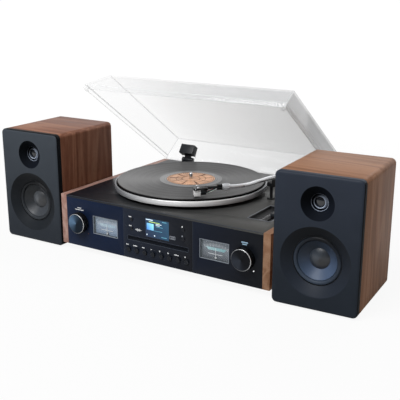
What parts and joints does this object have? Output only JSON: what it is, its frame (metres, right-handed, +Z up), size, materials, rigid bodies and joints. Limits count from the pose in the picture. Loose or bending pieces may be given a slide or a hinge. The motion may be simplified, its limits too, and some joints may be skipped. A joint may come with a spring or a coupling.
{
  "type": "stereo music centre",
  "caption": "Wood-cased music centre with a turntable under a hinged clear cover, a disc slot, display, meters and knobs on its front, and a pair of shelf speakers.",
  "frame": {"origin": "on the floor plane, below the middle of the main unit's front edge", "axes": "+X to the right as seen from the front, +Y to the back, +Z up"},
  "size_m": [0.7891, 0.3987, 0.3404],
  "materials": {
    "black_metal": "satin",
    "deck_black": "satin",
    "walnut": "satin varnish, grain",
    "panel_blue_black": "satin",
    "fascia_black": "gloss",
    "black_rubber": "matte",
    "dark_steel": "satin",
    "black_plastic": "matte",
    "grey_plastic": "satin",
    "clear_window": "clear gloss",
    "display_blue": "lit display",
    "circuit_green": "satin",
    "brass_sockets": "bright",
    "polished_aluminium": "polished",
    "vinyl_black": "grooved gloss",
    "chrome_steel": "polished",
    "clear_cover": "clear gloss",
    "brushed_silver": "brushed",
    "cartridge_white": "satin",
    "knob_metal": "spun",
    "needle_orange": "matte",
    "baffle_slate": "matte",
    "cone_slate": "satin",
    "button_black": "satin"
  },
  "bodies": {
    "main_unit": {"base_pan": "black_metal", "top_deck": "deck_black", "side_panel_left": "walnut", "side_panel_right": "walnut", "front_panel": "panel_blue_black", "centre_fascia": "fascia_black", "rear_panel": "black_metal", "rubber_feet": "black_rubber", "case_screws": "dark_steel", "platter_motor": "dark_steel", "slider_well": "black_plastic", "cover_hinge_bases": "grey_plastic", "tonearm_base": "black_plastic", "meter_housings": "black_plastic", "meter_windows": "clear_window", "display_module": "display_blue", "disc_drive": "dark_steel", "control_boards": "circuit_green", "circuit_boards": "circuit_green", "rear_sockets": "brass_sockets", "speaker_cabinet_left": "walnut", "speaker_cabinet_right": "walnut", "speaker_baffle_left": "baffle_slate", "speaker_baffle_right": "baffle_slate", "woofer_frames": "black_metal", "woofer_surrounds": "black_rubber", "tweeters": "black_plastic"},
    "turntable": {"platter": "polished_aluminium", "platter_mat": "black_rubber", "record": "vinyl_black", "spindle": "chrome_steel"},
    "cover": {"dust_cover": "clear_cover", "cover_hinge_arms": "grey_plastic"},
    "arm_swivel": {"arm_gimbal": "chrome_steel"},
    "arm": {"tonearm_tube": "brushed_silver", "headshell": "black_plastic", "cartridge": "cartridge_white"},
    "balance_weight": {"counterweight": "dark_steel"},
    "lift_lever": {"cue_lever": "chrome_steel"},
    "lift_platform": {"cue_platform": "black_plastic"},
    "anti_skate": {"anti_skate_dial": "black_plastic"},
    "slider": {"pitch_slider": "grey_plastic"},
    "knob_left": {"volume_knob": "knob_metal"},
    "knob_right": {"tuning_knob": "knob_metal"},
    "needle_left": {"meter_needle_left": "needle_orange"},
    "needle_right": {"meter_needle_right": "needle_orange"},
    "cone_left": {"woofer_cone_left": "cone_slate"},
    "cone_right": {"woofer_cone_right": "cone_slate"},
    "button_1_cap": {"button_1": "button_black"},
    "button_2_cap": {"button_2": "button_black"},
    "button_3_cap": {"button_3": "button_black"},
    "button_4_cap": {"button_4": "button_black"},
    "button_5_cap": {"button_5": "button_black"},
    "button_6_cap": {"button_6": "button_black"},
    "button_7_cap": {"button_7": "button_black"},
    "button_8_cap": {"button_8": "button_black"},
    "small_button_left_low_cap": {"small_button_left_low": "button_black"},
    "small_button_left_high_cap": {"small_button_left_high": "button_black"},
    "small_button_right_low_cap": {"small_button_right_low": "button_black"},
    "small_button_right_high_cap": {"small_button_right_high": "button_black"}
  },
  "joints": [
    {"name": "platter_spin", "type": "hinge", "parent": "main_unit", "child": "turntable", "pos_m": [-0.037, 0.1735, 0.1], "axis": [0, 0, 1], "continuous": true},
    {"name": "cover_hinge", "type": "hinge", "parent": "main_unit", "child": "cover", "pos_m": [0, 0.355, 0.1235], "axis": [1, 0, 0], "range_deg": [0, 35]},
    {"name": "arm_swing", "type": "hinge", "parent": "main_unit", "child": "arm_swivel", "pos_m": [0.16, 0.262, 0.12], "axis": [0, 0, 1], "range_deg": [-20.5, 11]},
    {"name": "arm_lift", "type": "hinge", "parent": "arm_swivel", "child": "arm", "pos_m": [0.16, 0.262, 0.153], "axis": [-0.859, 0.512, 0], "range_deg": [0, 1.2]},
    {"name": "counterweight_turn", "type": "hinge", "parent": "arm", "child": "balance_weight", "pos_m": [0.16, 0.262, 0.153], "axis": [-0.512, -0.859, 0], "continuous": true},
    {"name": "cue_lever_turn", "type": "hinge", "parent": "main_unit", "child": "lift_lever", "pos_m": [0.1714, 0.23425, 0.128], "axis": [-0.859, 0.512, 0], "range_deg": [0, 60]},
    {"name": "cue_lift", "type": "slide", "parent": "main_unit", "child": "lift_platform", "axis": [0, 0, 1], "range_m": [0, 0.0006]},
    {"name": "anti_skate_turn", "type": "hinge", "parent": "main_unit", "child": "anti_skate", "pos_m": [0.18147, 0.2492, 0.12], "axis": [0, 0, 1], "range_deg": [0, 270]},
    {"name": "pitch_slide", "type": "slide", "parent": "main_unit", "child": "slider", "axis": [0, 1, 0], "range_m": [-0.028, 0.028]},
    {"name": "volume_turn", "type": "hinge", "parent": "main_unit", "child": "knob_left", "pos_m": [-0.1867, 0, 0.064], "axis": [0, 1, 0], "continuous": true},
    {"name": "tuning_turn", "type": "hinge", "parent": "main_unit", "child": "knob_right", "pos_m": [0.1867, 0, 0.064], "axis": [0, 1, 0], "continuous": true},
    {"name": "needle_left_swing", "type": "hinge", "parent": "main_unit", "child": "needle_left", "pos_m": [-0.1243, 0.0057, 0.049], "axis": [0, 1, 0], "range_deg": [-40, 40], "stiffness_Nm_per_rad": 0.0005},
    {"name": "needle_right_swing", "type": "hinge", "parent": "main_unit", "child": "needle_right", "pos_m": [0.1243, 0.0057, 0.049], "axis": [0, 1, 0], "range_deg": [-40, 40], "stiffness_Nm_per_rad": 0.0005},
    {"name": "cone_left_stroke", "type": "slide", "parent": "main_unit", "child": "cone_left", "axis": [0.0175, -0.9998, 0], "range_m": [-0.003, 0.003], "stiffness_N_per_m": 1500},
    {"name": "cone_right_stroke", "type": "slide", "parent": "main_unit", "child": "cone_right", "axis": [0.0523, -0.9986, 0], "range_m": [-0.003, 0.003], "stiffness_N_per_m": 1500},
    {"name": "button_1_press", "type": "slide", "parent": "main_unit", "child": "button_1_cap", "axis": [0, 1, 0], "range_m": [0, 0.0012], "stiffness_N_per_m": 600},
    {"name": "button_2_press", "type": "slide", "parent": "main_unit", "child": "button_2_cap", "axis": [0, 1, 0], "range_m": [0, 0.0012], "stiffness_N_per_m": 600},
    {"name": "button_3_press", "type": "slide", "parent": "main_unit", "child": "button_3_cap", "axis": [0, 1, 0], "range_m": [0, 0.0012], "stiffness_N_per_m": 600},
    {"name": "button_4_press", "type": "slide", "parent": "main_unit", "child": "button_4_cap", "axis": [0, 1, 0], "range_m": [0, 0.0012], "stiffness_N_per_m": 600},
    {"name": "button_5_press", "type": "slide", "parent": "main_unit", "child": "button_5_cap", "axis": [0, 1, 0], "range_m": [0, 0.0012], "stiffness_N_per_m": 600},
    {"name": "button_6_press", "type": "slide", "parent": "main_unit", "child": "button_6_cap", "axis": [0, 1, 0], "range_m": [0, 0.0012], "stiffness_N_per_m": 600},
    {"name": "button_7_press", "type": "slide", "parent": "main_unit", "child": "button_7_cap", "axis": [0, 1, 0], "range_m": [0, 0.0012], "stiffness_N_per_m": 600},
    {"name": "button_8_press", "type": "slide", "parent": "main_unit", "child": "button_8_cap", "axis": [0, 1, 0], "range_m": [0, 0.0012], "stiffness_N_per_m": 600},
    {"name": "small_button_left_low_press", "type": "slide", "parent": "main_unit", "child": "small_button_left_low_cap", "axis": [0, 1, 0], "range_m": [0, 0.0012], "stiffness_N_per_m": 600},
    {"name": "small_button_left_high_press", "type": "slide", "parent": "main_unit", "child": "small_button_left_high_cap", "axis": [0, 1, 0], "range_m": [0, 0.0012], "stiffness_N_per_m": 600},
    {"name": "small_button_right_low_press", "type": "slide", "parent": "main_unit", "child": "small_button_right_low_cap", "axis": [0, 1, 0], "range_m": [0, 0.0012], "stiffness_N_per_m": 600},
    {"name": "small_button_right_high_press", "type": "slide", "parent": "main_unit", "child": "small_button_right_high_cap", "axis": [0, 1, 0], "range_m": [0, 0.0012], "stiffness_N_per_m": 600}
  ],
  "couplings": [
    {"joint": "arm_lift", "follows": "cue_lever_turn", "ratio": 0.02},
    {"joint": "cue_lift", "follows": "cue_lever_turn", "m_per_rad": 0.00057}
  ]
}
